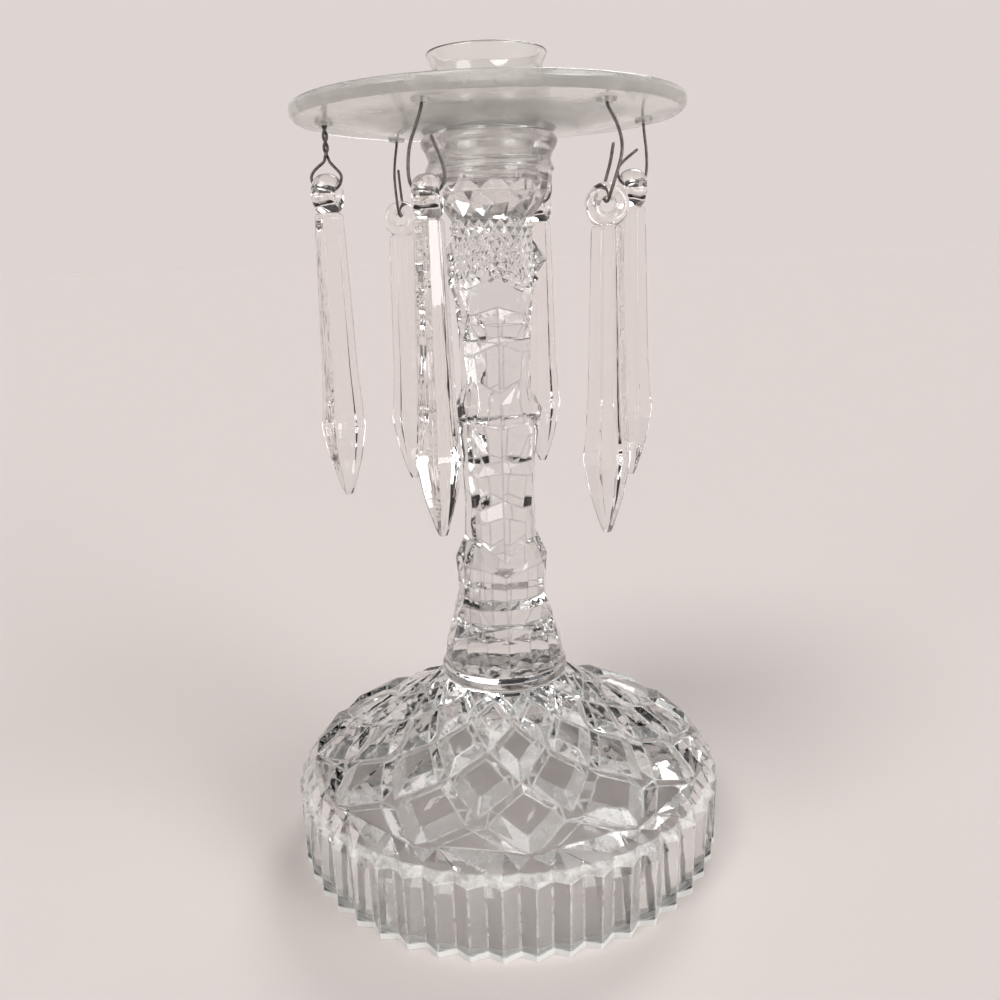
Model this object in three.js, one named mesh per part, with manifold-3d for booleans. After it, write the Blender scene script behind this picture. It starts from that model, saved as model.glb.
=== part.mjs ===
// A pressed glass candlestick with a loose drip pan and six hanging prisms, in millimetres, +Z up.
// The origin is the middle of the foot ring, on the table. Angles are in degrees about the axis:
// 0 is the front, towards -Y, and they grow towards +X.
import * as THREE from "three";
import { mergeVertices } from "three/addons/utils/BufferGeometryUtils.js";
import Module from "manifold-3d";

const wasm = await Module();
wasm.setup();

// Foot: a hollow dome on a ring with upright V flutes
const footRadius = 61.7;
const footRingHeight = 21.6;
const footRingDraft = 0.5;
const fluteCount = 46;
const fluteDepth = 2.3;
const fluteTurn = -2.16;
const rimStepIn = 1.1;
const rimStepUp = 1.4;
const fluteRunIn = 0.8;
const fluteRunUp = 3.4;
const footWall = 5.0;
const domeWall = 5.4;
const domeTopHeight = 51.5;

// Dome lattice: crossed V grooves with a flat diamond in each field
const latticeCount = 12;
const latticeTurn = 5.02;
const bevelShare = 0.22;
const diamondRise = 1.6;

// Stem: a ring, a faceted column, two bands of diamonds and a smooth collar with the socket
const stemHeight = 147.5;
const stemRingRadius = 18.2;
const stemRingHeight = 3.9;
const stemRingRound = 0.9;
const panelHalfWidth = 7.4;
const cornerHalfAngle = 3;
const smallDiamondCount = 24;
const smallDiamondRise = 0.9;
const smallDiamondRows = 8;
const largeDiamondCount = 12;
const largeDiamondRise = 1.2;
const crestRadius = 14.6;
const crestHalfHeight = 5.8;
const crestHalfAngle = 38;
const crestRoot = 10.3;
const collarRadius = 17.7;
const collarWaist = 15.8;
const collarHeight = 8.4;
const socketRadius = 13.6;
const socketDepth = 11.5;

// Drip pan with its candle tube
const panRadius = 50;
const panHeight = 7.3;
const panRimThickness = 3.7;
const panDish = 2.9;
const panWall = 3.0;
const panSeatRadius = 20.5;
const seatGap = 0.3;
const tubeRadius = 13.5;
const tubeLipRadius = 15.3;
const tubeHeight = 12.1;
const candleRadius = 11.4;
const plugFloor = 3.2;
const plugClearance = 0.7;
const plugLift = 0.8;

// Prism hangers and their holes in the pan
const prismCount = 6;
const prismTurn = -20.1;
const holeInset = 8.6;
const holeRadius = 1.5;
const bossTipRadius = 2.1;
const bossRootRadius = 3.1;
const bossLength = 1.2;
const wireRadius = 0.4;
const wireGap = 0.3;
const wireLegSpread = 4.0;
const wireTail = 4.4;
const twistPitch = 5.6;
const twistRadius = 0.52;
const twistFoot = 7.2;

// Prisms: a bead pierced for the wire over a six-sided spear
const beadRadius = 5.15;
const beadHalfThickness = 3.1;
const beadHoleRadius = 1.6;
const prismLength = 78;
const shoulderRadius = 3.9;
const waistRadius = 4.3;
const belowWaistRadius = 4.9;
const spearRadius = 6.25;
const spearDrop = 59;
const prismSides = 6;
const edgeSoftness = 9;

// Each hanger in turn from the front left one, counter-clockwise from above: the share of the drop from
// the pan's rim to its bead's hole, the direction in which the wire crosses the bead, and in millimetres
// how far the bead hangs that way from the hole in the pan and how far the wire bows to the side. The
// free end stands beside the bead, at a share of its rise.
const hangerDrop = 20;
const freeEndRise = 10;
const hangers = [
  { name: "front_left", drop: 1.22, wireAngle: 86, reach: 0.3, bow: 0, freeEnd: { aside: 1.3, up: 1.3 } },
  { name: "front_right", drop: 1.34, wireAngle: 187, reach: 0, bow: -2.7, freeEnd: { aside: 2.4, up: 1.38 } },
  { name: "right", drop: 1.06, wireAngle: 279, reach: 3, bow: 0, freeEnd: { aside: -1.5, up: 1 } },
  { name: "back_right", drop: 1.17, wireAngle: 70, reach: 0, bow: 0.8, freeEnd: { aside: 2.2, up: 1.14 } },
  { name: "back_left", drop: 1.31, wireAngle: 175, reach: 0, bow: 0.6, freeEnd: { aside: 2.6, up: 1.4 } },
  { name: "left", drop: 1.06, wireAngle: 260, reach: 0.4 },
];

const roundSteps = 48;

// Sizes that follow from those above, from the table up
const collarTop = domeTopHeight + stemHeight;
const collarFoot = collarTop - collarHeight;
const socketFloor = collarTop - socketDepth;
const panSeat = collarTop + seatGap;
const panRimTop = panSeat + panHeight;
const panRimFoot = panRimTop - panRimThickness;
const tubeTop = panRimTop + tubeHeight;
const holeCircleRadius = panRadius - holeInset;
const plugFoot = socketFloor + plugLift;
const boreFloor = plugFoot + plugFloor;

const radians = THREE.MathUtils.degToRad;
const blend = THREE.MathUtils.lerp;

function polar(radius, degrees, height) {
  const angle = radians(degrees);
  return new THREE.Vector3(radius * Math.sin(angle), -radius * Math.cos(angle), height);
}

function ring(radius, height, count = roundSteps, turn = 0) {
  return Array.from({ length: count }, (_, i) => polar(radius, turn + (i * 360) / count, height));
}

// A closed surface gathered triangle by triangle, each counter-clockwise seen from outside.
class Skin {
  constructor() {
    this.corners = [];
  }

  triangle(a, b, c) {
    this.corners.push(a, b, c);
  }

  quad(a, b, c, d) {
    this.triangle(a, b, c);
    this.triangle(a, c, d);
  }

  // Closes the gap between two rings of points, whatever their counts. The surface runs from the
  // axis below, outwards and up, and back to the axis above, and each ring follows the last one on it.
  belt(from, to) {
    const angleOf = (point) => Math.atan2(point.x, -point.y);
    const turnFrom = angleOf(from[0]);
    const wrap = (angle) => Math.atan2(Math.sin(angle), Math.cos(angle));
    const offsets = to.map((point) => Math.abs(wrap(angleOf(point) - turnFrom)));
    const first = offsets.indexOf(Math.min(...offsets));
    const turned = [...to.slice(first), ...to.slice(0, first)];
    const unwrap = (points) => {
      let angle = wrap(angleOf(points[0]) - turnFrom);
      const angles = [angle];
      for (let i = 1; i <= points.length; i += 1) {
        const step = angleOf(points[i % points.length]) - angleOf(points[i - 1]);
        angle += (step + 2 * Math.PI) % (2 * Math.PI);
        angles.push(angle);
      }
      return angles;
    };
    const fromAngles = unwrap(from);
    const toAngles = unwrap(turned);
    let i = 0;
    let j = 0;
    while (i < from.length || j < turned.length) {
      const a = from[i % from.length];
      const b = turned[j % turned.length];
      const stepFrom = j === turned.length || (i < from.length && fromAngles[i + 1] <= toAngles[j + 1]);
      if (stepFrom) {
        i += 1;
        this.triangle(a, from[i % from.length], b);
      } else {
        j += 1;
        this.triangle(a, turned[j % turned.length], b);
      }
    }
  }

  // Runs a belt through a whole list of rings.
  belts(rings) {
    for (let i = 1; i < rings.length; i += 1) this.belt(rings[i - 1], rings[i]);
  }

  openFrom(point, first) {
    first.forEach((corner, i) => this.triangle(point, first[(i + 1) % first.length], corner));
  }

  closeAt(last, point) {
    last.forEach((corner, i) => this.triangle(corner, last[(i + 1) % last.length], point));
  }

  geometry() {
    return mergeVertices(new THREE.BufferGeometry().setFromPoints(this.corners), 1e-4);
  }
}

function solid(geometry) {
  const bare = geometry.clone();
  bare.deleteAttribute("normal");
  bare.deleteAttribute("uv");
  const merged = mergeVertices(bare, 1e-4);
  return new wasm.Manifold(
    new wasm.Mesh({
      numProp: 3,
      vertProperties: new Float32Array(merged.attributes.position.array),
      triVerts: new Uint32Array(merged.index.array),
    }),
  );
}

function geometryOf(manifold) {
  const mesh = manifold.getMesh();
  const geometry = new THREE.BufferGeometry();
  geometry.setAttribute("position", new THREE.BufferAttribute(new Float32Array(mesh.vertProperties), 3));
  geometry.setIndex(new THREE.BufferAttribute(new Uint32Array(mesh.triVerts), 1));
  return geometry;
}

// A height read off a line of [radius, height] points or [height, radius] points.
function readLine(line, x) {
  const rising = line[0][0] < line[line.length - 1][0];
  const points = rising ? line : [...line].reverse();
  const next = Math.min(points.length - 1, Math.max(1, points.findIndex((point) => point[0] >= x)));
  const [x0, y0] = points[next - 1];
  const [x1, y1] = points[next];
  return y0 + ((y1 - y0) * (x - x0)) / (x1 - x0);
}

// The rows of crossings: shares of the way out from the stem's ring to the foot's edge, and of the way up
// from the flutes to the top of the dome.
const latticeRows = [
  [0.89, 0.19],
  [0.66, 0.318],
  [0.444, 0.465],
  [0.264, 0.635],
  [0.115, 0.789],
  [0.005, 0.923],
].map(([out, up]) => [blend(stemRingRadius, footRadius, out), blend(footRingHeight, domeTopHeight, up)]);

const latticeLine = new THREE.SplineCurve(latticeRows.map(([r, z]) => new THREE.Vector2(r, z)));
const latticeStep = 360 / latticeCount / 2;

// The point of the dome where row counts up from the outermost crossings and side counts half fields
// round the axis. The groove bottoms have no rise.
function domePoint(row, side, rise) {
  const at = latticeLine.getPoint(row / (latticeRows.length - 1));
  return polar(at.x, latticeTurn + side * latticeStep, at.y + rise);
}

// A diamond stands up from its grooves by a bevel whose width is a share of the field.
function bevelRise(...edges) {
  return diamondRise * Math.min(1, Math.min(...edges) / bevelShare);
}

const fieldCuts = [0, bevelShare, 1 - bevelShare, 1];

// One whole diamond field between four crossings, with its lowest crossing at the given row and side.
function addDiamond(skin, row, side) {
  const point = (i, j) => {
    const u = fieldCuts[i];
    const v = fieldCuts[j];
    return domePoint(row + u + v, side + u - v, bevelRise(u, 1 - u, v, 1 - v));
  };
  for (let i = 0; i < fieldCuts.length - 1; i += 1) {
    for (let j = 0; j < fieldCuts.length - 1; j += 1) {
      skin.quad(point(i, j), point(i + 1, j), point(i + 1, j + 1), point(i, j + 1));
    }
  }
}

// Half a field, cut off level: above the crossing where up is 1, and below it where up is -1.
// Its two sides are grooves and its level edge is left standing.
function addHalfDiamond(skin, row, side, up) {
  const last = fieldCuts.length - 1;
  const point = (i, j) => {
    const u = fieldCuts[i];
    const v = fieldCuts[j];
    return domePoint(row + up * (u + v), side + up * (u - v), bevelRise(u, v));
  };
  for (let i = 0; i < last; i += 1) {
    for (let j = 0; i + j < last; j += 1) {
      skin.triangle(point(i, j), point(i + 1, j), point(i, j + 1));
      if (i + j < last - 1) skin.triangle(point(i + 1, j), point(i + 1, j + 1), point(i, j + 1));
    }
  }
}

// The level edge of the half fields, once round.
function levelEdge(row, up) {
  const last = fieldCuts.length - 1;
  const points = [];
  for (let k = 0; k < latticeCount; k += 1) {
    const side = 2 * k + (row % 2 === 0 ? 0 : 1) + 1;
    for (let i = 0; i < last; i += 1) {
      const share = up > 0 ? i : last - i;
      const u = fieldCuts[share];
      const v = fieldCuts[last - share];
      points.push(domePoint(row, side + up * (u - v), bevelRise(u, v)));
    }
  }
  return points;
}

// A ring of points that alternates between a flute's ridge and its bottom.
function flutedRing(ridgeRadius, ridgeHeight, grooveRadius, grooveHeight) {
  const points = [];
  for (let k = 0; k < fluteCount; k += 1) {
    const turn = fluteTurn + (k * 360) / fluteCount;
    points.push(polar(ridgeRadius, turn, ridgeHeight));
    points.push(polar(grooveRadius, turn + 180 / fluteCount, grooveHeight));
  }
  return points;
}

const domeSeatRadius = stemRingRadius - stemRingRound;

function makeFoot() {
  const skin = new Skin();
  const hollowRadius = footRadius - footWall;
  const ceilings = [3, 1, 0].map((row) => {
    const [radius, height] = latticeRows[row];
    return ring(radius - domeWall / 2, height - domeWall);
  });
  const hollow = [
    ring(domeSeatRadius * 0.6, domeTopHeight - domeWall - 1),
    ring(domeSeatRadius * 1.2, domeTopHeight - domeWall - 5),
    ...ceilings,
    ring(hollowRadius - 0.6, footRingHeight - domeWall),
    ring(hollowRadius, 0),
  ];
  skin.openFrom(new THREE.Vector3(0, 0, domeTopHeight - domeWall), hollow[0]);
  const ridgeTop = footRadius + footRingDraft;
  const grooveTop = ridgeTop - fluteDepth;
  const edge = flutedRing(
    ridgeTop - rimStepIn,
    footRingHeight + rimStepUp,
    grooveTop - fluteRunIn,
    footRingHeight + fluteRunUp,
  );
  skin.belts([
    ...hollow,
    flutedRing(footRadius, 0, footRadius - fluteDepth, 0),
    flutedRing(ridgeTop, footRingHeight, grooveTop, footRingHeight),
    edge,
    levelEdge(0, -1),
  ]);
  const topRow = latticeRows.length - 1;
  for (let k = 0; k < latticeCount; k += 1) {
    addHalfDiamond(skin, 1, 2 * k + 1, -1);
    for (let row = 0; row + 2 <= topRow; row += 1) addDiamond(skin, row, 2 * k + (row % 2));
    addHalfDiamond(skin, topRow - 1, 2 * k + ((topRow - 1) % 2), 1);
  }
  const seat = ring(domeSeatRadius, domeTopHeight);
  skin.belt(levelEdge(topRow, 1), seat);
  skin.closeAt(seat, new THREE.Vector3(0, 0, domeTopHeight));
  return skin.geometry();
}

// A point of the stem's outline: shares of its height and of its ring's radius.
function stemPoint([up, out]) {
  return [blend(domeTopHeight, collarTop, up), out * stemRingRadius];
}

// The column's facet lines from the ring up. Each gives the arris in the middle of the front and back
// panels, the panels' edges with their share of the full half width, and the middle of the side panels.
const facetLines = [
  [[0.033, 0.934], [0.049, 0.929, 0.88], [0.037, 0.940]],
  [[0.096, 0.863], [0.082, 0.890, 0.80], [0.068, 0.912]],
  [[0.124, 0.857], [0.113, 0.846, 0.93], [0.095, 0.808]],
  [[0.129, 0.808], [0.126, 0.802, 0.64], [0.113, 0.764]],
  [[0.155, 0.780], [0.154, 0.786, 1.00], [0.132, 0.725]],
  [[0.170, 0.703], [0.169, 0.703, 0.80], [0.157, 0.692]],
  [[0.218, 0.731], [0.231, 0.709, 0.86], [0.196, 0.698]],
  [[0.244, 0.632], [0.252, 0.654, 0.82], [0.237, 0.725]],
  [[0.281, 0.593], [0.278, 0.577, 0.85], [0.283, 0.560]],
  [[0.332, 0.637], [0.315, 0.599, 0.85], [0.315, 0.549]],
  [[0.361, 0.560], [0.342, 0.549, 0.76], [0.349, 0.538]],
  [[0.416, 0.659], [0.405, 0.615, 0.93], [0.409, 0.555]],
  [[0.435, 0.560], [0.429, 0.544, 0.62], [0.437, 0.577]],
  [[0.494, 0.659], [0.479, 0.632, 1.00], [0.485, 0.637]],
  [[0.502, 0.599], [0.504, 0.604, 0.89], [0.519, 0.687]],
  [[0.540, 0.599], [0.542, 0.604, 0.73], [0.536, 0.615]],
  [[0.559, 0.544], [0.580, 0.549, 0.78], [0.554, 0.522]],
  [[0.650, 0.621], [0.631, 0.599, 0.85], [0.634, 0.538]],
  [[0.660, 0.555], [0.652, 0.544, 0.59], [0.658, 0.538]],
  [[0.685, 0.615], [0.681, 0.604, 0.97], [0.691, 0.560]],
  [[0.711, 0.571], [0.696, 0.566, 0.97], [0.722, 0.571]],
  [[0.767, 0.698], [0.742, 0.654, 0.95], [0.757, 0.670]],
].map(([front, edge, side]) => ({
  front: stemPoint(front),
  edge: stemPoint(edge),
  half: edge[2] * panelHalfWidth,
  side: stemPoint(side),
}));

// One facet line as a ring of sixteen points: front arris, edge, corner, edge, side arris and so on.
function facetRing({ front, edge, half, side }) {
  const [edgeHeight, edgeRadius] = edge;
  const spread = THREE.MathUtils.radToDeg(Math.asin(Math.min(1, half / edgeRadius)));
  const edgeAngle = Math.min(45 - cornerHalfAngle, spread);
  const points = [];
  for (let quarter = 0; quarter < 4; quarter += 1) {
    const [height, radius] = quarter % 2 === 0 ? front : side;
    const turn = latticeTurn + quarter * 90;
    points.push(polar(radius, turn, height));
    points.push(polar(edgeRadius, turn + edgeAngle, edgeHeight));
    points.push(polar(edgeRadius, turn + 45, edgeHeight));
    points.push(polar(edgeRadius, turn + 90 - edgeAngle, edgeHeight));
  }
  return points;
}

// Rings of the small diamonds: the lowest follows the top facet line, the highest is level.
const smallBandLine = [
  [0.736, 0.599],
  [0.77, 0.582],
  [0.81, 0.555],
  [0.837, 0.549],
  [0.86, 0.582],
].map(stemPoint);
const smallBandTop = smallBandLine[smallBandLine.length - 1][0];

function smallDiamondRing(row) {
  const top = facetLines[facetLines.length - 1];
  const count = 2 * smallDiamondCount;
  const points = [];
  for (let i = 0; i < count; i += 1) {
    const angle = (i * 360) / count;
    const fromArris = Math.abs(((angle + 45) % 90) - 45) / (45 - cornerHalfAngle);
    const foot = blend(top.side[0] + 1, top.edge[0], Math.min(1, fromArris)) + seatGap;
    const height = blend(foot, smallBandTop, row / smallDiamondRows);
    const inside = row > 0 && row < smallDiamondRows;
    const rise = inside && (i + row) % 2 === 0 ? smallDiamondRise : 0;
    points.push(polar(readLine(smallBandLine, height) + rise, latticeTurn + angle, height));
  }
  return points;
}

// Rings of the large diamonds: shares of the way up to the collar, and of the collar's radius at the
// grooves.
const largeBandLine = [
  [0.04, 0.616],
  [0.293, 0.695],
  [0.537, 0.836],
  [0.927, 0.921],
].map(([up, out]) => [blend(smallBandTop, collarFoot, up), out * collarRadius]);

function largeDiamondRing(row) {
  const [height, radius] = largeBandLine[row];
  const count = 2 * largeDiamondCount;
  const inside = row > 0 && row < largeBandLine.length - 1;
  return Array.from({ length: count }, (_, i) => {
    const rise = inside && (i + row) % 2 === 0 ? largeDiamondRise : 0;
    return polar(radius + rise, latticeTurn + (i * 360) / count, height);
  });
}

// Joins two rings of diamonds so that each groove keeps one straight line between its crossings.
function addDiamondBand(skin, lower, upper, row) {
  lower.forEach((_, i) => {
    const next = (i + 1) % lower.length;
    if ((i + row) % 2 === 0) {
      skin.triangle(lower[i], lower[next], upper[i]);
      skin.triangle(lower[next], upper[next], upper[i]);
    } else {
      skin.quad(lower[i], lower[next], upper[next], upper[i]);
    }
  });
}

// A plain four-sided point that stands over the small diamonds on each side panel.
const crestHeight = blend(domeTopHeight, collarTop, 0.791);

function makeCrest(turn) {
  const skin = new Skin();
  const tip = polar(crestRadius, turn, crestHeight);
  const root = new THREE.Vector3(0, 0, crestHeight);
  const outline = [
    polar(crestRoot, turn, crestHeight - crestHalfHeight),
    polar(crestRoot, turn + crestHalfAngle, crestHeight),
    polar(crestRoot, turn, crestHeight + crestHalfHeight),
    polar(crestRoot, turn - crestHalfAngle, crestHeight),
  ];
  outline.forEach((corner, i) => {
    const next = outline[(i + 1) % outline.length];
    skin.triangle(corner, next, tip);
    skin.triangle(next, corner, root);
  });
  return solid(skin.geometry());
}

function makeStem() {
  const skin = new Skin();
  const base = domeTopHeight;
  const ringTop = base + stemRingHeight;
  const bottom = ring(domeSeatRadius, base);
  skin.openFrom(new THREE.Vector3(0, 0, base), bottom);
  const facets = facetLines.map(facetRing);
  skin.belts([
    bottom,
    ring(stemRingRadius, base + stemRingRound),
    ring(stemRingRadius, ringTop - stemRingRound),
    ring(domeSeatRadius, ringTop),
    facets[0],
  ]);
  for (let line = 1; line < facets.length; line += 1) addFacetBand(skin, facets[line - 1], facets[line]);
  const small = Array.from({ length: smallDiamondRows + 1 }, (_, row) => smallDiamondRing(row));
  const large = largeBandLine.map((_, row) => largeDiamondRing(row));
  skin.belt(facets[facets.length - 1], small[0]);
  for (let row = 1; row < small.length; row += 1) addDiamondBand(skin, small[row - 1], small[row], row - 1);
  skin.belt(small[small.length - 1], large[0]);
  for (let row = 1; row < large.length; row += 1) addDiamondBand(skin, large[row - 1], large[row], row - 1);
  const floorRing = ring(socketRadius, socketFloor);
  const onCollar = (radius, up) => ring(radius, blend(collarFoot, collarTop, up));
  skin.belts([
    large[large.length - 1],
    onCollar(collarWaist + 1, 0),
    onCollar(collarWaist, 0.28),
    onCollar(collarWaist + 0.6, 0.5),
    onCollar(collarRadius - 0.3, 0.69),
    onCollar(collarRadius, 0.83),
    ring(collarRadius - 0.9, collarTop),
    ring(socketRadius + 0.5, collarTop),
    ring(socketRadius, collarTop - 0.5),
    floorRing,
  ]);
  skin.closeAt(floorRing, new THREE.Vector3(0, 0, socketFloor));
  const column = solid(skin.geometry());
  const crests = [1, 3].map((quarter) => makeCrest(latticeTurn + quarter * 90));
  return geometryOf(crests.reduce((all, crest) => all.add(crest), column));
}

function addFacetBand(skin, lower, upper) {
  lower.forEach((_, i) => {
    const next = (i + 1) % lower.length;
    if (i % 4 < 2) skin.quad(lower[i], lower[next], upper[next], upper[i]);
    else skin.quad(lower[next], upper[next], upper[i], lower[i]);
  });
}

const panTopLine = [
  [tubeRadius + 4, panRimTop - panDish],
  [30, panRimTop - 1.9],
  [46.5, panRimTop - 0.7],
];

function makeDripPan() {
  const plugRadius = socketRadius - plugClearance;
  const profile = [
    [0, plugFoot],
    [plugRadius - 0.7, plugFoot],
    [plugRadius, plugFoot + 0.7],
    [plugRadius, panSeat],
    [panSeatRadius, panSeat],
    [panSeatRadius + 3.5, panSeat + 0.7],
    [panSeatRadius + 11.5, panRimFoot - 1.2],
    [holeCircleRadius, panRimFoot - 0.2],
    [panRadius - 1.2, panRimFoot],
    [panRadius - 0.2, panRimFoot + 1.1],
    [panRadius, panRimFoot + 2.3],
    [panRadius - 0.9, panRimTop],
    ...[...panTopLine].reverse(),
    [tubeRadius + 1.1, panRimTop - panDish + 0.5],
    [tubeRadius, panRimTop - panDish + 2.2],
    [tubeRadius, blend(panRimTop, tubeTop, 0.46)],
    [blend(tubeRadius, tubeLipRadius, 0.35), tubeTop - 3],
    [tubeLipRadius, tubeTop - 0.6],
    [tubeLipRadius - 0.4, tubeTop],
    [tubeLipRadius - 1, tubeTop - 0.1],
    [candleRadius + 1.8, tubeTop - 2.4],
    [candleRadius + 0.5, tubeTop - 5.8],
    [candleRadius, tubeTop - 9],
    [candleRadius, boreFloor + 0.8],
    [candleRadius - 0.8, boreFloor],
    [0, boreFloor],
  ];
  const skin = new Skin();
  const rings = profile.slice(1, -1).map(([radius, height]) => ring(radius, height));
  skin.openFrom(new THREE.Vector3(0, 0, plugFoot), rings[0]);
  skin.belts(rings);
  skin.closeAt(rings[rings.length - 1], new THREE.Vector3(0, 0, boreFloor));
  let pan = solid(skin.geometry());
  const rootHeight = panRimFoot + panWall / 2;
  const tipHeight = panRimFoot - bossLength;
  for (let k = 0; k < prismCount; k += 1) {
    const at = polar(holeCircleRadius, prismTurn + k * (360 / prismCount), 0);
    const boss = uprightCone(bossRootRadius, bossTipRadius, rootHeight, tipHeight, 16, at);
    pan = pan.add(boss);
  }
  for (let k = 0; k < prismCount; k += 1) {
    const at = polar(holeCircleRadius, prismTurn + k * (360 / prismCount), 0);
    pan = pan.subtract(uprightCone(holeRadius, holeRadius, panRimTop + 1, tipHeight - 1, 12, at));
  }
  return geometryOf(pan);
}

function uprightCone(topRadius, footRadiusHere, top, foot, sides, at) {
  const cone = new THREE.CylinderGeometry(topRadius, footRadiusHere, top - foot, sides);
  cone.rotateX(Math.PI / 2);
  cone.translate(at.x, at.y, (top + foot) / 2);
  return solid(cone);
}

// The wire's middle where it crosses the bead, above the bead hole's own middle.
const wireAboveHole = beadHoleRadius - wireRadius - wireGap;
const tailHeight = readLine(panTopLine, holeCircleRadius) + wireRadius + wireGap;

// Hangers are drawn about the middle of their crossing, x along the wire there and z up. The wire starts
// with its tail on the pan and passes down the pan's hole, which stands back from the bead by the reach.
function hookPath({ drop, reach, bow, freeEnd }) {
  const base = panRimTop - drop * hangerDrop + wireAboveHole;
  const tail = tailHeight - base;
  const holeFoot = panRimFoot - bossLength - base;
  const endHeight = freeEnd.up * freeEndRise - wireAboveHole;
  const spread = wireLegSpread;
  return [
    [wireTail - reach, 0, tail],
    [wireTail / 2 - reach, 0, tail],
    [1.1 - reach, 0, tail],
    [0.25 - reach, 0, tail - 0.55],
    [-reach, 0, tail - 1.7],
    [-reach, 0, holeFoot],
    [blend(-reach, -spread, 0.4), bow * 0.8, blend(holeFoot, 4.2, 0.3)],
    [blend(-reach, -spread, 0.85), bow, blend(holeFoot, 4.2, 0.6)],
    [-spread, bow * 0.3, 4.2],
    [-spread * 0.86, 0, 1.5],
    [-spread * 0.42, 0, 0.1],
    [spread * 0.42, 0, 0.1],
    [spread * 0.86, 0, 1.5],
    [spread, bow * 0.2, 4.2],
    [blend(spread, freeEnd.aside, 0.4), bow * 0.6, blend(4.2, endHeight, 0.5)],
    [freeEnd.aside, bow * 0.8, endHeight],
  ];
}

// The twisted hanger: two strands wind round each other down from the pan and open into a loop.
function twistedPath({ drop, reach }) {
  const tail = tailHeight - panRimTop + drop * hangerDrop - wireAboveHole;
  const top = tail - 1.6;
  const turns = Math.round((top - twistFoot) / twistPitch);
  const strand = (side) => {
    const count = Math.round(turns * 7);
    return Array.from({ length: count + 1 }, (_, i) => {
      const at = polar(twistRadius, 90 + side * 180 + (i / count) * turns * 360, 0);
      return [at.x - reach, at.y, blend(twistFoot, top, i / count)];
    });
  };
  const half = (side) => [
    [side * wireLegSpread * 0.42, 0, 0.1],
    [side * wireLegSpread * 0.86, 0, 1.5],
    [side * wireLegSpread, 0, 3.6],
    [side * wireLegSpread * 0.62, 0, 5.5],
  ];
  const bend = [wireTail, wireTail / 2, 1.3].map((x) => [x - reach, 0, tail]);
  return [...bend, ...strand(0).reverse(), ...half(1).reverse(), ...half(-1), ...strand(1)];
}

function makeHook(hanger) {
  const points = hanger.freeEnd ? hookPath(hanger) : twistedPath(hanger);
  const line = points.map(([x, y, z]) => new THREE.Vector3(x, y, z));
  const path = new THREE.CatmullRomCurve3(line, false, "centripetal");
  const section = new THREE.Shape().absarc(0, 0, wireRadius, 0, 2 * Math.PI);
  const steps = Math.round(path.getLength() / (hanger.freeEnd ? 1.4 : 1.1));
  return new THREE.ExtrudeGeometry(section, { curveSegments: 3, steps, extrudePath: path });
}

function makePrism() {
  const half = beadHalfThickness;
  const face = [
    [beadHoleRadius, 0.9],
    [beadHoleRadius + 1.4, half],
    [beadRadius - 0.8, half - 0.6],
    [beadRadius, half * 0.35],
  ];
  const outline = [...face, ...face.map(([r, x]) => [r, -x]).reverse(), face[0]];
  const bead = new THREE.LatheGeometry(outline.map(([r, x]) => new THREE.Vector2(r, -x)), 16);
  bead.rotateZ(-Math.PI / 2);
  const spear = [
    [prismLength - 0.3, 1.0],
    [prismLength - 1.9, 2.0],
    [blend(spearDrop, prismLength, 0.5), blend(spearRadius, 2.0, 0.5) + 0.25],
    [spearDrop, spearRadius],
    [spearDrop - 3.1, spearRadius - 0.5],
    [spearDrop - 14.7, belowWaistRadius],
    [20.6, waistRadius],
    [beadRadius + 0.6, shoulderRadius],
    [beadRadius - 0.3, shoulderRadius - 0.2],
    [beadRadius - 0.9, shoulderRadius - 0.9],
  ];
  const skin = new Skin();
  const rings = spear.map(([drop, radius]) => softHexagon(radius, -drop));
  skin.openFrom(new THREE.Vector3(0, 0, -prismLength), rings[0]);
  skin.belts(rings);
  skin.closeAt(rings[rings.length - 1], new THREE.Vector3(0, 0, 1.2 - beadRadius));
  return geometryOf(solid(skin.geometry()).add(solid(bead)));
}

// A six-sided ring whose corners are cut back to narrow flats.
function softHexagon(radius, height) {
  const points = [];
  for (let side = 0; side < prismSides; side += 1) {
    const corner = (side * 360) / prismSides;
    points.push(polar(radius, corner - edgeSoftness, height));
    points.push(polar(radius, corner + edgeSoftness, height));
  }
  return points;
}

const glass = { color: 0xe9ecea, roughness: 0.04, metalness: 0 };
const tintedGlass = { color: 0xd7e0db, roughness: 0.06, metalness: 0 };
const wire = { color: 0x5a5752, roughness: 0.42, metalness: 0.9 };

const candlestick = new THREE.Group();

function addPiece(parent, name, geometry, finish) {
  const mesh = new THREE.Mesh(geometry, new THREE.MeshStandardMaterial(finish));
  mesh.name = name;
  parent.add(mesh);
  return mesh;
}

addPiece(candlestick, "foot", makeFoot(), glass);
addPiece(candlestick, "stem", makeStem(), glass);
addPiece(candlestick, "drip_pan", makeDripPan(), tintedGlass);

hangers.forEach((hanger, k) => {
  const bead = panRimTop - hanger.drop * hangerDrop;
  const at = polar(holeCircleRadius, prismTurn + k * (360 / prismCount), bead);
  const place = new THREE.Group();
  place.position.copy(at.add(polar(hanger.reach, hanger.wireAngle, 0)));
  place.rotation.z = radians(hanger.wireAngle - 90);
  candlestick.add(place);
  const hook = addPiece(place, `hook_${hanger.name}`, makeHook(hanger), wire);
  hook.position.z = wireAboveHole;
  addPiece(place, `prism_${hanger.name}`, makePrism(), glass);
});

export default candlestick;
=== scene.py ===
import math
import bpy
from mathutils import Matrix, Vector


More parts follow.
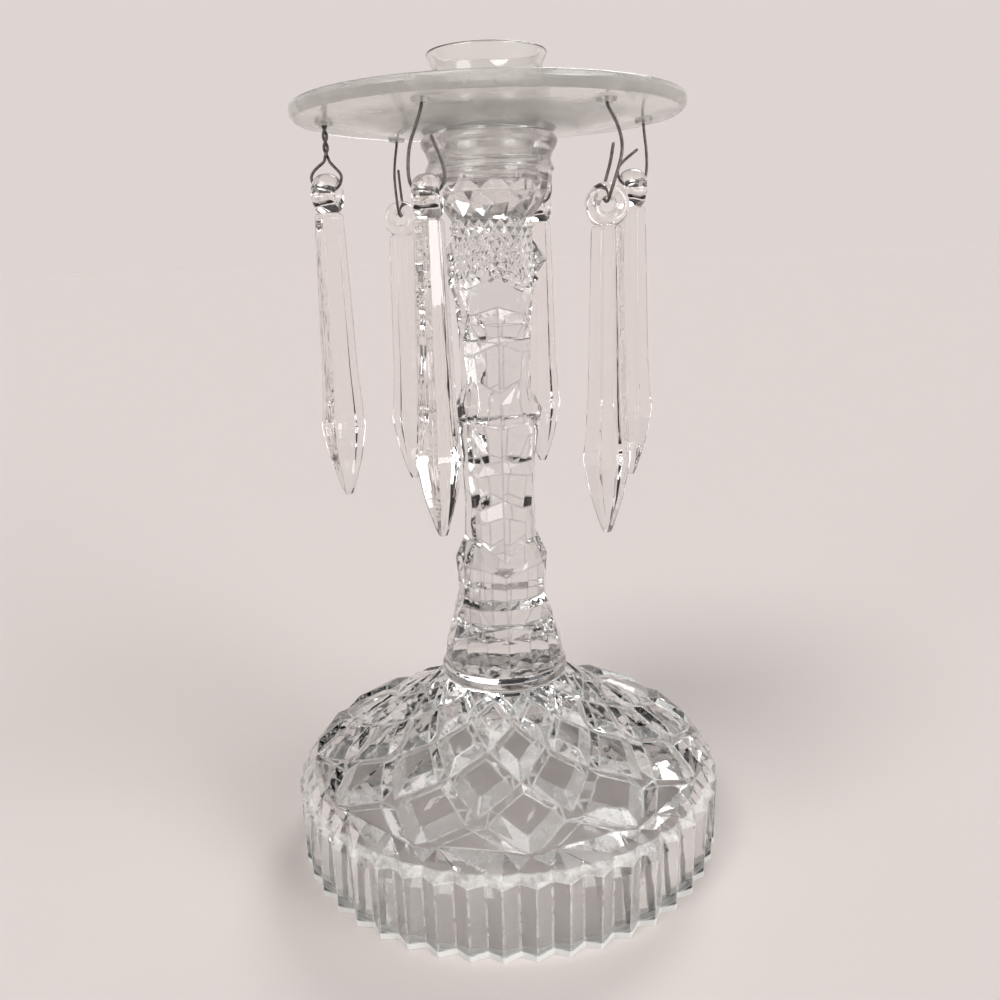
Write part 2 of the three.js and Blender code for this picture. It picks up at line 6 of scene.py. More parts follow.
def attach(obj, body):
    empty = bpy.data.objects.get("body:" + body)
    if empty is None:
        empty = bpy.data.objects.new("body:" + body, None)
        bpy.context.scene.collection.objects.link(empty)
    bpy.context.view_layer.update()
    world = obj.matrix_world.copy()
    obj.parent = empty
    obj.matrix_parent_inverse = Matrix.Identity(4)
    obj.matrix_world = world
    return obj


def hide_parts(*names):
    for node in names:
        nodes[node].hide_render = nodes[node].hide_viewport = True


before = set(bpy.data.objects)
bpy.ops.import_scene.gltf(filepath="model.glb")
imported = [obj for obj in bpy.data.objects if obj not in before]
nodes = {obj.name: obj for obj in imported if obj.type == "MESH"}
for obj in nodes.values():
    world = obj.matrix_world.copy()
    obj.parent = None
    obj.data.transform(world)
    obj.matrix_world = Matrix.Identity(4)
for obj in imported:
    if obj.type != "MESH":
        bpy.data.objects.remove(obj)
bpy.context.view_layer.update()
mm = 0.001


class Signal:  # a node's output that can be used in sums
    def __init__(self, tree, socket):
        self.tree = tree
        self.socket = socket

    def math(self, operation, *values):
        node = self.tree.nodes.new("ShaderNodeMath")
        node.operation = operation
        for slot, value in zip(node.inputs, values):
            plug(self.tree, slot, value)
        return Signal(self.tree, node.outputs[0])

    def __add__(self, other):
        return self.math("ADD", self, other)

    def __radd__(self, other):
        return self.math("ADD", other, self)

    def __sub__(self, other):
        return self.math("SUBTRACT", self, other)

    def __rsub__(self, other):
        return self.math("SUBTRACT", other, self)

    def __mul__(self, other):
        return self.math("MULTIPLY", self, other)

    def __rmul__(self, other):
        return self.math("MULTIPLY", other, self)

    def __pow__(self, other):
        return self.math("POWER", self, other)

    def clamped(self):
        node = self.math("ADD", self, 0)
        node.socket.node.use_clamp = True
        return node


def plug(tree, slot, value):
    if isinstance(value, Signal):
        tree.links.new(value.socket, slot)
    elif isinstance(value, (tuple, list)) and len(value) == 3 and slot.type == "RGBA":
        slot.default_value = (*value, 1)
    else:
        slot.default_value = value


class NodeTree:  # adds nodes to one tree
    def __init__(self, tree):
        self.tree = tree

    def node(self, kind, sockets=None, out=0, **settings):
        node = self.tree.nodes.new("ShaderNode" + kind)
        for key, value in settings.items():
            setattr(node, key, value)
        for slot, value in (sockets or {}).items():
            plug(self.tree, node.inputs[slot], value)
        return Signal(self.tree, node.outputs[out])

    def axes(self, vector):  # its x, y and z
        return [self.node("SeparateXYZ", {"Vector": vector}, out) for out in range(3)]

    def noise(self, where, scale, detail, roughness):
        sockets = {"Vector": where, "Scale": scale, "Detail": detail, "Roughness": roughness}
        return self.node("TexNoise", sockets)

    def blend(self, factor, first, second):  # the Mix node's colour sockets share their names
        return self.node("Mix", {0: factor, 6: first, 7: second}, out=2, data_type="RGBA")


class Finish(NodeTree):  # a material, its shader and the nodes that feed it
    def __init__(self, name, constants):
        self.material = bpy.data.materials.new(name)
        self.material.use_nodes = True
        super().__init__(self.material.node_tree)
        self.shader = self.tree.nodes["Principled BSDF"]
        self.feed(constants)

    def feed(self, sockets):
        for name, value in sockets.items():
            plug(self.tree, self.shader.inputs[name], value)

    def place(self):  # Object coordinates
        return self.node("TexCoord", out=3)

    def bump(self, height, distance, strength):
        bumped = self.node("Bump", {"Height": height, "Distance": distance, "Strength": strength})
        self.feed({"Normal": bumped})

    def overlay(self, factor, constants):  # lets a second shader show where the factor says
        first = Signal(self.tree, self.shader.outputs[0])
        second = self.node("BsdfPrincipled", constants)
        mixed = self.node("MixShader", {0: factor, 1: first, 2: second})
        plug(self.tree, self.tree.nodes["Material Output"].inputs[0], mixed)


def between(value, low, high):  # from 0 at the first bound to 1 at the second
    return ((value - low) * (1 / (high - low))).clamped()


def betweenMm(value, low, high):
    return between(value, low * mm, high * mm)


print("materials")

# a grain is the scale, detail and roughness of a noise, and a range is the part of it that counts
pressedLook = {
    "ior": 1.51,
    "tint": (0.905, 0.902, 0.897),
    "roughness": 0.008,
    "smudgeGrain": (90, 4, 0.6),
    "smudgeRange": (0.5, 0.8),
    "smudge": 0.05,  # roughness that a smudge adds
    "smudgeTone": 0.97,  # what it leaves of the tint
    "rippleGrain": (240, 2, 0.5),
    "ripple": 0.00009,
    "rippleStrength": 0.6,
    # colour of the real frost and of the painted highlights
    "frostAndPaintedLight": (0.96, 0.98, 0.95),
    "frostSkin": {"Roughness": 0.42, "IOR": 1.5, "Transmission Weight": 0.3},
    "cloudGrain": (260, 4, 0.65),
    "cloudRange": (0.1, 0.8),
    "groundTop": 1.7,  # mm above the table, where the ground rim ends
    "groundFade": 0.6,
    "groundShare": 0.85,
    "ledge": (21.2, 24.6),  # heights of the zigzag edge over the flutes
    "ledgeFade": (0.4, 0.6),
    "ledgeRadii": (57.6, 58.6),
    "ledgeRange": (0.2, 0.6),
    "ledgeShare": 0.55,
    # painted highlight: the share of whitish frost on the lower bevels of the diamonds
    "bevelHighlightShare": 0.36,
    # painted sheen: the share of whitish frost on the clockwise side of each flute
    "flankSheenShare": 0.24,
    # painted highlight: the share of whitish frost on the rounded edge strips
    "edgeHighlightShare": 0.5,
    # painted shade: the share and colour of a dark frost on the stem's rounded folds
    "foldShadeShare": 0.46,
    "foldShadeTone": (0.25, 0.24, 0.23),
    "paintedCollarLight": (150, 185),  # heights between which the collar is painted lighter with a milky frost, as painted light
    "paintedCollarLightRange": (0.1, 0.7),
    "paintedCollarLightShare": 0.2,
    "paintedCollarLightTone": (0.98, 0.93, 0.88),
}


def pressedGlass(name, paintedShare, shadeTone=None):  # the second argument is the share of frost all over that paints highlight or shade, the third the colour of painted shade
    look = pressedLook
    glass = Finish(name, {"IOR": look["ior"], "Transmission Weight": 1.0})
    where = glass.place()
    x, y, height = glass.axes(where)
    out = (x * x + y * y) ** 0.5
    cloud = glass.noise(where, *look["cloudGrain"])
    smudge = between(glass.noise(where, *look["smudgeGrain"]), *look["smudgeRange"])
    smudgeTint = tuple(c * look["smudgeTone"] for c in look["tint"])
    glass.feed({
        "Base Color": glass.blend(smudge, look["tint"], smudgeTint),
        "Roughness": look["roughness"] + smudge * look["smudge"],
    })
    glass.bump(glass.noise(where, *look["rippleGrain"]), look["ripple"], look["rippleStrength"])

    ground = betweenMm(height, look["groundTop"] + look["groundFade"], look["groundTop"])
    low, high = look["ledge"]
    lowFade, highFade = look["ledgeFade"]
    ledge = betweenMm(height, low, low + lowFade) * betweenMm(height, high, high - highFade)
    ledge = ledge * betweenMm(out, *look["ledgeRadii"]) * between(cloud, *look["ledgeRange"])
    # painted light: a milky frost that lightens the collar towards the top
    collarPaintedLight = betweenMm(height, *look["paintedCollarLight"])
    # one frost mask for the real ground rim and ledge and for the painted highlight, shade and collar
    # light
    frostAndPaintedLight = ground * look["groundShare"] + ledge * look["ledgeShare"]
    frostAndPaintedLight = frostAndPaintedLight + between(cloud, *look["cloudRange"]) * paintedShare
    frostAndPaintedLight = frostAndPaintedLight + collarPaintedLight * between(cloud, *look["paintedCollarLightRange"]) * look["paintedCollarLightShare"]
    colour = shadeTone or glass.blend(collarPaintedLight, look["frostAndPaintedLight"], look["paintedCollarLightTone"])
    glass.overlay(frostAndPaintedLight.clamped(), {"Base Color": colour, **look["frostSkin"]})
    return glass.material


panLook = {
    "ior": 1.51,
    "tint": (0.96, 0.96, 0.942),
    "haze": (0.933, 0.936, 0.91),
    "cloudGrain": (45, 4, 0.6),
    "cloudRange": (0.35, 0.75),
    "roughness": 0.03,
    "smudge": 0.09,
    "rippleGrain": (160, 3, 0.5),
    "ripple": 0.00008,
    "rippleStrength": 0.6,
    # colour of the real film and of the painted light near the neck
    "filmAndPaintedLight": (0.93, 0.915, 0.86),
    "filmSkin": {"Roughness": 0.35, "IOR": 1.5, "Transmission Weight": 0.3},
    "filmShare": (0.2, 0.38),
    "plateTop": (209.5, 206.9),  # the film fades in over these heights, coming from above
    "plateFoot": (199, 201),  # and over these, coming from below
    "hubPaintedLight": (36, 22),  # radii between which the film below thickens towards the neck, as painted light on the pan's shaded underside
    "hubPaintedLightTop": (203.4, 202.9),
    "hubPaintedLightShare": 0.36,
}


def panGlass():
    look = panLook
    glass = Finish("panGlass", {"IOR": look["ior"], "Transmission Weight": 1.0})
    where = glass.place()
    cloud = between(glass.noise(where, *look["cloudGrain"]), *look["cloudRange"])
    glass.feed({
        "Base Color": glass.blend(cloud, look["tint"], look["haze"]),
        "Roughness": look["roughness"] + cloud * look["smudge"],
    })
    glass.bump(glass.noise(where, *look["rippleGrain"]), look["ripple"], look["rippleStrength"])

    x, y, height = glass.axes(where)
    # painted light: the film thickens near the neck to lighten the shaded underside
    hubPaintedLight = betweenMm((x * x + y * y) ** 0.5, *look["hubPaintedLight"]) * betweenMm(height, *look["hubPaintedLightTop"])
    plate = betweenMm(height, *look["plateTop"]) * betweenMm(height, *look["plateFoot"])
    thin, thick = look["filmShare"]
    filmAndPaintedLight = plate * (cloud * (thick - thin) + thin + hubPaintedLight * look["hubPaintedLightShare"])
    glass.overlay(filmAndPaintedLight, {"Base Color": look["filmAndPaintedLight"], **look["filmSkin"]})
    return glass.material


prismLook = {
    "ior": 1.52,
    "tint": (0.97, 0.955, 0.94),
    "roughness": 0.008,
    "smudgeGrain": (120, 3, 0.6),
    "smudgeRange": (0.5, 0.85),
    "smudge": 0.05,
    "smudgeTint": (0.94, 0.94, 0.93),
    "drawn": (1, 1, 0.12),  # stretches the ripple along the prism
    "rippleGrain": (420, 2, 0.5),
    "ripple": 0.00012,
    "rippleStrength": 0.5,
}


def prismGlass():
    look = prismLook
    glass = Finish("prismGlass", {"IOR": look["ior"], "Transmission Weight": 1.0})
    where = glass.place()
    smudge = between(glass.noise(where, *look["smudgeGrain"]), *look["smudgeRange"])
    glass.feed({
        "Base Color": glass.blend(smudge, look["tint"], look["smudgeTint"]),
        "Roughness": look["roughness"] + smudge * look["smudge"],
    })
    drawn = glass.node("Mapping", {"Vector": where, "Scale": look["drawn"]})
    glass.bump(glass.noise(drawn, *look["rippleGrain"]), look["ripple"], look["rippleStrength"])
    return glass.material


wireLook = {
    "dark": (0.08, 0.074, 0.068),
    "bright": (0.23, 0.21, 0.19),
    "tarnishGrain": (900, 5, 0.65),
    "tarnishRange": (0.35, 0.7),
    "roughness": 0.36,
    "tarnish": 0.2,  # roughness that the bright spots add
    "scratchGrain": (2500, 3, 0.6),
    "scratch": 0.00003,
    "scratchStrength": 0.5,
}


def wireSteel():
    look = wireLook
    steel = Finish("wireSteel", {"Metallic": 1.0})
    where = steel.place()
    tarnish = between(steel.noise(where, *look["tarnishGrain"]), *look["tarnishRange"])
    steel.feed({
        "Base Color": steel.blend(tarnish, look["dark"], look["bright"]),
        "Roughness": look["roughness"] + tarnish * look["tarnish"],
    })
    steel.bump(steel.noise(where, *look["scratchGrain"]), look["scratch"], look["scratchStrength"])
    return steel.material


bodyFinishes = {
    "plain": pressedGlass("pressedGlass", 0),
    # painted highlight on the lower bevels
    "bevelHighlight": pressedGlass("pressedBevelHighlight", pressedLook["bevelHighlightShare"]),
    # painted sheen on one side of each flute
    "flankSheen": pressedGlass("pressedFlankSheen", pressedLook["flankSheenShare"]),
    # painted highlight on the rounded edge strips
    "edge": pressedGlass("pressedEdgeHighlight", pressedLook["edgeHighlightShare"]),
    # painted shade on the stem's rounded folds
    "fold": pressedGlass("pressedFoldShade", pressedLook["foldShadeShare"], pressedLook["foldShadeTone"]),
}
bodySlots = {name: index for index, name in enumerate(bodyFinishes)}
panFinish = panGlass()
prismFinish = prismGlass()
wireFinish = wireSteel()


def dress(piece, *finishes):
    piece.data.materials.clear()
    for finish in finishes:
        piece.data.materials.append(finish)


def hold(*pieces):  # selects just these, the first one active
    bpy.ops.object.select_all(action="DESELECT")
    for piece in pieces:
        piece.select_set(True)
    bpy.context.view_layer.objects.active = pieces[0]


finishing = {
    "doubles": 0.002,  # mm, and corners nearer than this are one
    "edgeSteps": 2,
    "smooth": 40,  # degrees, and weaker folds are shaded smooth
    "flatWeight": 70,
}


def copyOf(name, *sources):  # one mesh from the named CAD nodes, with its doubles merged
    copies = []
    for source in sources:
        piece = bpy.data.objects.new(name, nodes[source].data.copy())
        bpy.context.scene.collection.objects.link(piece)
        copies.append(piece)
    hold(*copies)
    if len(copies) > 1:
        bpy.ops.object.join()
    piece = bpy.context.view_layer.objects.active
    bpy.ops.object.mode_set(mode="EDIT")
    bpy.ops.mesh.select_all(action="SELECT")
    bpy.ops.mesh.remove_doubles(threshold=finishing["doubles"] * mm)
    bpy.ops.object.mode_set(mode="OBJECT")
    return piece


def clean(piece, weld):  # takes out the slivers that a union leaves
    hold(piece)
    bpy.ops.object.mode_set(mode="EDIT")
    bpy.ops.mesh.select_mode(type="VERT")
    bpy.ops.mesh.select_all(action="SELECT")
    bpy.ops.mesh.remove_doubles(threshold=weld)
    bpy.ops.mesh.dissolve_degenerate(threshold=weld)
    bpy.ops.object.mode_set(mode="OBJECT")


def selectParts(piece, kind, wanted):  # the wanted edges or faces, left in edit mode
    hold(piece)
    bpy.ops.object.mode_set(mode="EDIT")
    bpy.ops.mesh.select_mode(type=kind)
    bpy.ops.mesh.select_all(action="DESELECT")
    bpy.ops.object.mode_set(mode="OBJECT")
    for part in piece.data.polygons if kind == "FACE" else piece.data.edges:
        part.select = wanted(part)
    bpy.ops.object.mode_set(mode="EDIT")


def modify(piece, kind, **settings):
    modifier = piece.modifiers.new(kind.lower(), kind)
    for key, value in settings.items():
        setattr(modifier, key, value)
    hold(piece)
    bpy.ops.object.modifier_apply(modifier=modifier.name)


def foldAngles(piece):  # each edge's two faces, and the angle between them in degrees
    sides = {}
    for face in piece.data.polygons:
        for key in face.edge_keys:
            sides.setdefault(key, []).append(face)
    pairs = [sides[edge.key][:2] for edge in piece.data.edges]
    return [(first, second, math.degrees(first.normal.angle(second.normal))) for first, second in pairs]


def roundEdges(piece, width, share, slot=-1):
    # rounds each edge by its share of the width, from its fold's angle, its middle and its length
    points = piece.data.vertices
    folds = foldAngles(piece)
    weights = piece.data.attributes.new("bevel_weight_edge", "FLOAT", "EDGE")
    for edge, (_, _, fold), weight in zip(piece.data.edges, folds, weights.data):
        a, b = (points[v].co for v in edge.vertices)
        weight.value = share(fold, (a + b) / 2, (a - b).length / mm)
    modify(
        piece, "BEVEL", width=width * mm, segments=finishing["edgeSteps"], material=slot,
        limit_method="WEIGHT", use_clamp_overlap=False,
    )


def settle(piece, smooth=finishing["smooth"], crisp=None):
    # smooth over the rounded edges, and flat on the flats
    hold(piece)
    bpy.ops.object.shade_smooth_by_angle(angle=math.radians(smooth))
    if crisp:
        for edge, sides in zip(piece.data.edges, foldAngles(piece)):
            edge.use_edge_sharp = edge.use_edge_sharp or crisp(*sides)
    modify(piece, "WEIGHTED_NORMAL", weight=finishing["flatWeight"], keep_sharp=True)


def turned(name, steps, profile):
    # a closed turned form: a disc drawn out ring by ring along [radius, height] in mm
    radius, height = profile[0]
    bpy.ops.object.select_all(action="DESELECT")
    bpy.ops.mesh.primitive_circle_add(
        vertices=steps, radius=radius * mm, fill_type="NGON", location=(0, 0, height * mm)
    )
    piece = bpy.context.object
    piece.name = name
    bpy.ops.object.transform_apply(location=True)
    bpy.ops.object.mode_set(mode="EDIT")
    bpy.ops.mesh.select_all(action="SELECT")
    for nextRadius, nextHeight in profile[1:]:
        bpy.ops.mesh.extrude_region_move(
            TRANSFORM_OT_translate={"value": (0, 0, (nextHeight - height) * mm)}
        )
        grow = nextRadius / radius
        bpy.ops.transform.resize(value=(grow, grow, 1), center_override=(0, 0, 0))
        radius, height = nextRadius, nextHeight
    bpy.ops.mesh.select_all(action="SELECT")
    bpy.ops.mesh.normals_make_consistent(inside=False)
    bpy.ops.object.mode_set(mode="OBJECT")
    return piece


print("foot and stem")

bodyForm = {
    "seam": 51.5,  # height at which the foot meets the stem
    "seamReach": 0.005,
    "weld": 0.12,
    "flatAngle": 0.8,  # faces that meet at less than this become one
    "edge": 0.38,
    "shortest": 0.9,  # shorter edges stay crisp
    "cutAngle": 17,  # sharper folds are rounded, and weaker ones stay crisp
    "flush": 2,  # but the weakest are shaded smooth
    "stemFoot": 56,
    "stemShare": 0.75,
    "fineCuts": (158, 181),  # heights between which the cuts are small
    "fineShare": 0.3,
    "fineFoot": 170,  # below this they meet the long facets in a zigzag that stays crisp
    "zigzag": (19.5, 27),  # so does the zigzag over the flutes, between these heights
    "zigzagRadius": 50,  # and outside this radius
    "rim": (19, 55),  # above this height and outside this radius the strips are clear
    "folds": (57, 157),  # heights between which the stem's rounded folds get painted dark shade
    "dome": [[18.4, 49.2], [23.2, 45.2], [29.7, 40.6], [37.5, 35.5], [46.9, 31.1], [56.9, 27.3]],
    "diamondRadii": (18.4, 58),
    "diamondHeights": (24.8, 51.4),
    "bevelSlope": 8,  # degrees by which a diamond's lower bevel dips below the line of the dome
    "fluteTop": 22,
    "fluteRadius": 58.5,
    "fluteTilt": 0.3,
    "fluteTurn": 0.2,
}


def within(value, limits):
    return limits[0] < value < limits[1]


def onLowerBevel(face):  # the side of a diamond that looks down the dome, which gets a painted highlight
    radius, height = face.center.xy.length / mm, face.center.z / mm
    inside = within(radius, bodyForm["diamondRadii"]) and within(height, bodyForm["diamondHeights"])
    if face.normal.z < 0 or not inside:
        return False
    line = bodyForm["dome"]
    step = next((i for i in range(1, len(line) - 1) if line[i][0] > radius), len(line) - 1)
    (r0, z0), (r1, z1) = line[step - 1], line[step]
    slope = math.atan2(z0 - z1, r1 - r0)
    out = Vector((face.center.x, face.center.y, 0)).normalized()
    downhill = out * math.cos(slope) - Vector((0, 0, math.sin(slope)))
    return math.degrees(math.asin(face.normal.dot(downhill))) > bodyForm["bevelSlope"]


def onFlank(face):  # the side of a flute that faces clockwise, which gets a painted sheen
    x, y, z = face.center
    radius = math.hypot(x, y)
    upright = abs(face.normal.z) <= bodyForm["fluteTilt"]
    if z > bodyForm["fluteTop"] * mm or radius < bodyForm["fluteRadius"] * mm or not upright:
        return False
    return x * face.normal.y - y * face.normal.x > bodyForm["fluteTurn"] * radius


def bodyEdge(fold, middle, length):  # an edge's share of the rounding
    height, radius = middle.z / mm, middle.xy.length / mm
    lower = within(height, bodyForm["zigzag"]) and radius > bodyForm["zigzagRadius"]
    upper = bodyForm["fineCuts"][0] < height < bodyForm["fineFoot"]
    if fold < bodyForm["cutAngle"] or length < bodyForm["shortest"] or lower or upper:
        return 0
    if within(height, bodyForm["fineCuts"]):
        return bodyForm["fineShare"]
    return bodyForm["stemShare"] if height > bodyForm["stemFoot"] else 1


def crispFold(first, second, fold):  # a fold that no rounded strip softens
    onStrip = max(first.material_index, second.material_index) >= bodySlots["edge"]
    return fold > bodyForm["flush"] and not onStrip


def makeBody():
    body = copyOf("glassBody", "foot", "stem")
    points = body.data.vertices

    def onSeam(face):
        heights = [points[v].co.z / mm for v in face.vertices]
        return all(abs(height - bodyForm["seam"]) < bodyForm["seamReach"] for height in heights)

    selectParts(body, "FACE", onSeam)
    bpy.ops.mesh.delete(type="ONLY_FACE")
    bpy.ops.mesh.select_all(action="SELECT")
    bpy.ops.mesh.remove_doubles(threshold=finishing["doubles"] * mm)
    bpy.ops.mesh.delete_loose(use_verts=True, use_edges=True, use_faces=False)
    bpy.ops.mesh.select_all(action="SELECT")
    bpy.ops.mesh.remove_doubles(threshold=bodyForm["weld"] * mm)
    bpy.ops.mesh.dissolve_limited(angle_limit=math.radians(bodyForm["flatAngle"]))
    bpy.ops.object.mode_set(mode="OBJECT")
    dress(body, *bodyFinishes.values())
    for face in body.data.polygons:
        # lower bevels get the painted highlight, and one side of each flute the painted sheen
        side = "bevelHighlight" if onLowerBevel(face) else "flankSheen" if onFlank(face) else "plain"
        face.material_index = bodySlots[side]
    # the rounded strips get the painted edge highlight
    roundEdges(body, bodyForm["edge"], bodyEdge, bodySlots["edge"])
    settle(body, crisp=crispFold)
    rimHeight, rimRadius = bodyForm["rim"]
    for face in body.data.polygons:
        height, radius = face.center.z / mm, face.center.xy.length / mm
        onRim = height > rimHeight and radius > rimRadius
        # the edge strips keep their painted highlight only low on the foot, and take painted shade on
        # the stem's folds
        if face.material_index == bodySlots["edge"] and (height > bodyForm["seam"] or onRim):
            face.material_index = bodySlots["fold" if within(height, bodyForm["folds"]) else "plain"]
    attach(body, "base")
    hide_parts("foot", "stem")


makeBody()

print("drip pan")

panForm = {
    "profile": [
        [12.2, 188.3], [12.9, 189.0], [12.9, 199.3], [20.5, 199.3], [24, 200.0], [32, 201.7],
        [41.4, 202.7], [48.8, 202.9], [49.8, 204.0], [50, 205.2], [49.7, 206.2], [49.1, 206.6],
        [46.5, 205.9], [30, 204.7], [17.5, 203.7], [14.6, 204.2], [13.6, 205.6], [13.5, 207.2],
        [13.5, 212.2], [13.7, 214.0], [14.13, 215.7], [15.1, 217.7], [15.3, 218.2], [15.0, 218.7],
        [14.3, 218.6], [13.2, 216.3], [12.1, 213.2], [11.4, 209.7], [11.4, 192.3], [10.6, 191.5],
    ],
    "steps": 96,
    "edge": 0.25,
    "edgeAngle": 24,  # sharper bends of the profile are rounded
    "smooth": 50,
    "holeCircle": 41.4,
    "holeTurn": -20.1,
    "holeRadius": 1.5,
    "holeSteps": 32,
    "drill": (204, 12),  # height of its middle, and its length
    "boss": (3.1, 2.1, 204.4, 201.7),  # radius at the pan and at its tip, and their heights
}


def polar(radius, degrees, height=0.0):
    angle = math.radians(degrees)
    return Vector((radius * math.sin(angle) * mm, -radius * math.cos(angle) * mm, height * mm))


def combine(piece, tool, operation):
    modify(piece, "BOOLEAN", operation=operation, object=tool, solver="EXACT")
    bpy.data.objects.remove(tool, do_unlink=True)


def makePan():
    pan = turned("glassPan", panForm["steps"], panForm["profile"])
    roundEdges(pan, panForm["edge"], lambda fold, middle, length: int(fold > panForm["edgeAngle"]))
    rootRadius, tipRadius, root, tip = panForm["boss"]
    drillHeight, drillLength = panForm["drill"]
    steps = panForm["holeSteps"]
    for k in range(6):
        at = polar(panForm["holeCircle"], panForm["holeTurn"] + 60 * k)
        bpy.ops.mesh.primitive_cone_add(
            vertices=steps, radius1=tipRadius * mm, radius2=rootRadius * mm, depth=(root - tip) * mm,
            location=(at.x, at.y, (root + tip) / 2 * mm),
        )
        combine(pan, bpy.context.object, "UNION")
        bpy.ops.mesh.primitive_cylinder_add(
            vertices=steps, radius=panForm["holeRadius"] * mm, depth=drillLength * mm,
            location=(at.x, at.y, drillHeight * mm),
        )
        combine(pan, bpy.context.object, "DIFFERENCE")
    settle(pan, panForm["smooth"])
    dress(pan, panFinish)
    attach(pan, "pan")
    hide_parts("drip_pan")


makePan()

print("prisms")

prismForm = {
    "spear": [  # heights from the middle of the bead
        [1.2, -77.9], [2.0, -76.1], [4.375, -68.5], [6.25, -59], [5.75, -55.9], [4.9, -44.3],
        [4.3, -20.6], [3.9, -5.75], [3.7, -4.85], [2.5, -4.2],
    ],
    "edgeFlat": 0.45,  # width of the flats along its long edges
    "longEdge": 0.4,  # these climb more than this
    "edge": 0.12,
    "edgeAngle": 5,
    "tip": -75,  # below this the edges are rounded less
    "tipShare": 0.25,
    "bead": (3.375, 1.775, 3.1),  # middle of the ring, half its wall and half its thickness
    "beadSteps": (48, 20),
    "weld": 0.02,
    "rimTop": 206.6,
    # drop of the bead's hole below the pan's rim, direction of the wire and reach from the hole
    "hung": {
        "front_left": (24.4, 86, 0.3), "front_right": (26.8, 187, 0), "right": (21.2, 279, 3),
        "back_right": (23.4, 70, 0), "back_left": (26.2, 175, 0), "left": (21.2, 260, 0.4),
    },
}


def prismEdge(fold, middle, length):
    if fold < prismForm["edgeAngle"]:
        return 0
    return prismForm["tipShare"] if middle.z < prismForm["tip"] * mm else 1


def makePrism():
    prism = turned("prism", 6, prismForm["spear"])
    points = prism.data.vertices

    def isLong(edge):
        a, b = (points[v].co for v in edge.vertices)
        return abs(a.z - b.z) > prismForm["longEdge"] * mm

    selectParts(prism, "EDGE", isLong)
    bpy.ops.mesh.bevel(offset=prismForm["edgeFlat"] * mm, segments=1, affect="EDGES")
    bpy.ops.object.mode_set(mode="OBJECT")
    roundEdges(prism, prismForm["edge"], prismEdge)
    middle, wall, thickness = prismForm["bead"]
    aroundRing, aroundWall = prismForm["beadSteps"]
    bpy.ops.mesh.primitive_torus_add(
        major_segments=aroundRing, minor_segments=aroundWall,
        major_radius=middle * mm, minor_radius=wall * mm, rotation=(0, math.radians(90), 0),
    )
    bead = bpy.context.object
    bead.scale = (1, 1, thickness / wall)
    bpy.ops.object.transform_apply(rotation=True, scale=True)
    combine(prism, bead, "UNION")
    clean(prism, prismForm["weld"] * mm)
    settle(prism)
    return prism


def hangPrisms():
    first = makePrism()
    for k, (name, (drop, wireAngle, reach)) in enumerate(prismForm["hung"].items()):
        prism = bpy.data.objects.new(f"glassPrism_{name}", first.data.copy())
        bpy.context.scene.collection.objects.link(prism)
        hole = polar(panForm["holeCircle"], panForm["holeTurn"] + 60 * k, prismForm["rimTop"] - drop)
        prism.location = hole + polar(reach, wireAngle)
        prism.rotation_euler.z = math.radians(wireAngle - 90)
        hold(prism)
        bpy.ops.object.transform_apply(location=True, rotation=True)
        dress(prism, prismFinish)
        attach(prism, f"pendant_{name}")
        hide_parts(f"prism_{name}")
    bpy.data.objects.remove(first, do_unlink=True)


hangPrisms()

print("hooks")

hookForm = {
    "rounding": 2,  # levels
    "swell": 0.03,  # gives back what the rounding takes off the wire's skin
}


def makeHooks():
    levels = hookForm["rounding"]
    for name in prismForm["hung"]:
        hook = copyOf(f"wireHook_{name}", f"hook_{name}")
        modify(hook, "SUBSURF", levels=levels, render_levels=levels)
        modify(hook, "DISPLACE", strength=hookForm["swell"] * mm, mid_level=0)
        bpy.ops.object.shade_smooth()
        dress(hook, wireFinish)
        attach(hook, f"hanger_{name}")
        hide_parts(f"hook_{name}")


makeHooks()

print("studio")

studio = {
    "floorColour": (0.73, 0.665, 0.64),
    "floorGrain": (14, 3, 0.5),
    "grainTone": 0.99,
    "floorRoughness": 0.9,
    "floorRadius": 30,
    "floorSteps": 96,
    "horizon": (0.73, 0.665, 0.64),
    "zenith": (0.04, 0.04, 0.042),
    "rise": (0.31, 0.40),  # sine of the elevation where the wall starts and ends to darken
    "suns": {  # azimuth, elevation and spread in degrees, strength and colour
        "key": (-38, 58, 30, 1.32, (1, 0.99, 0.98)),
        "fill": (62, 38, 34, 0.9, (0.96, 0.98, 1)),
        "back": (160, 42, 24, 1.0, (1, 1, 1)),
        "windowLeft": (-50, 12, 26, 0.75, (1, 1, 1)),
        "windowRight": (46, 13, 28, 1.3, (1, 1, 1)),
    },
}


def addFloor():
    bpy.ops.mesh.primitive_circle_add(
        vertices=studio["floorSteps"], radius=studio["floorRadius"], fill_type="NGON"
    )
    floor = bpy.context.object
    floor.name = "floor"
    paint = Finish("paleFloor", {"Roughness": studio["floorRoughness"], "Specular IOR Level": 0.0})
    colour = studio["floorColour"]
    darker = tuple(c * studio["grainTone"] for c in colour)
    grain = paint.noise(paint.place(), *studio["floorGrain"])
    paint.feed({"Base Color": paint.blend(grain, colour, darker)})
    dress(floor, paint.material)


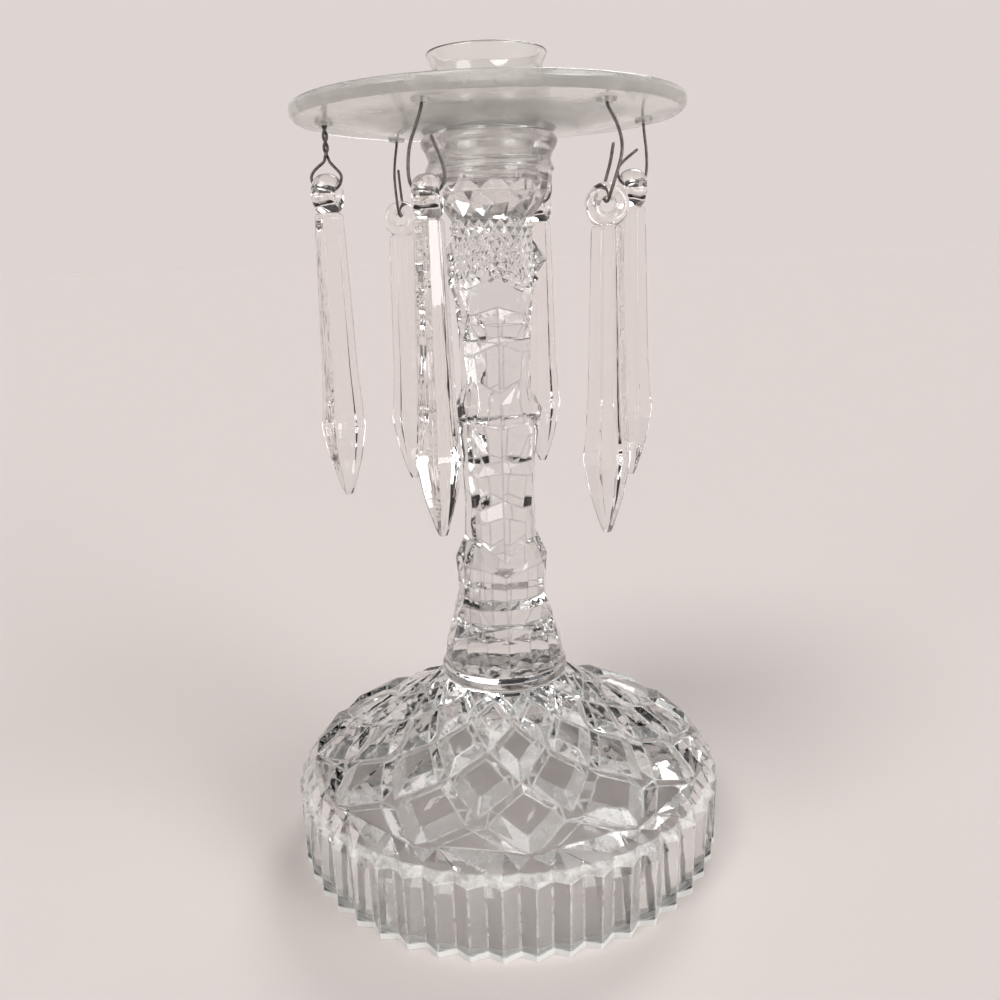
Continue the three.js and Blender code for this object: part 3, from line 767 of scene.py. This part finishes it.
def addRoom():  # pale walls all round under a dark ceiling
    world = bpy.data.worlds.new("room")
    bpy.context.scene.world = world
    world.use_nodes = True
    room = NodeTree(world.node_tree)
    _, _, height = room.axes(room.node("TexCoord"))
    colour = room.blend(between(height, *studio["rise"]), studio["horizon"], studio["zenith"])
    plug(room.tree, room.tree.nodes["Background"].inputs["Color"], colour)


def addSun(name, azimuth, elevation, spread, strength, colour):
    sun = bpy.data.lights.new(name, "SUN")
    sun.energy = strength
    sun.angle = math.radians(spread)
    sun.color = colour
    holder = bpy.data.objects.new(name, sun)
    bpy.context.scene.collection.objects.link(holder)
    turn, rise = math.radians(azimuth), math.radians(elevation)
    towards = Vector((math.sin(turn) * math.cos(rise), -math.cos(turn) * math.cos(rise), math.sin(rise)))
    holder.location = towards
    holder.rotation_euler = (-towards).to_track_quat("-Z", "Y").to_euler()


cameraView = {
    "focal": 940,  # in pixels of a picture 1000 wide
    "back": 256.9,
    "height": 169.8,
    "pitch": 14.69,
    "roll": -1.75,
    "yaw": 0.01,
    "sensor": 36,
    "nearest": 10,
}


def addCamera():
    pitch, roll, yaw = (math.radians(cameraView[turn]) for turn in ("pitch", "roll", "yaw"))
    ahead = Vector((math.sin(yaw) * math.cos(pitch), math.cos(yaw) * math.cos(pitch), -math.sin(pitch)))
    level = Vector((math.cos(yaw), -math.sin(yaw), 0))
    upright = level.cross(ahead)
    right = math.cos(roll) * level + math.sin(roll) * upright
    top = math.cos(roll) * upright - math.sin(roll) * level
    lens = bpy.data.cameras.new("camera")
    lens.sensor_width = cameraView["sensor"]
    lens.lens = cameraView["focal"] / 1000 * cameraView["sensor"]
    lens.clip_start = cameraView["nearest"] * mm
    camera = bpy.data.objects.new("camera", lens)
    bpy.context.scene.collection.objects.link(camera)
    turn = Matrix((right, top, -ahead)).transposed().to_4x4()
    place = Matrix.Translation((0, -cameraView["back"] * mm, cameraView["height"] * mm))
    camera.matrix_world = place @ turn
    bpy.context.scene.camera = camera


addFloor()
addRoom()
for name, settings in studio["suns"].items():
    addSun(name, *settings)
addCamera()
bpy.context.scene.view_settings.view_transform = "Standard"
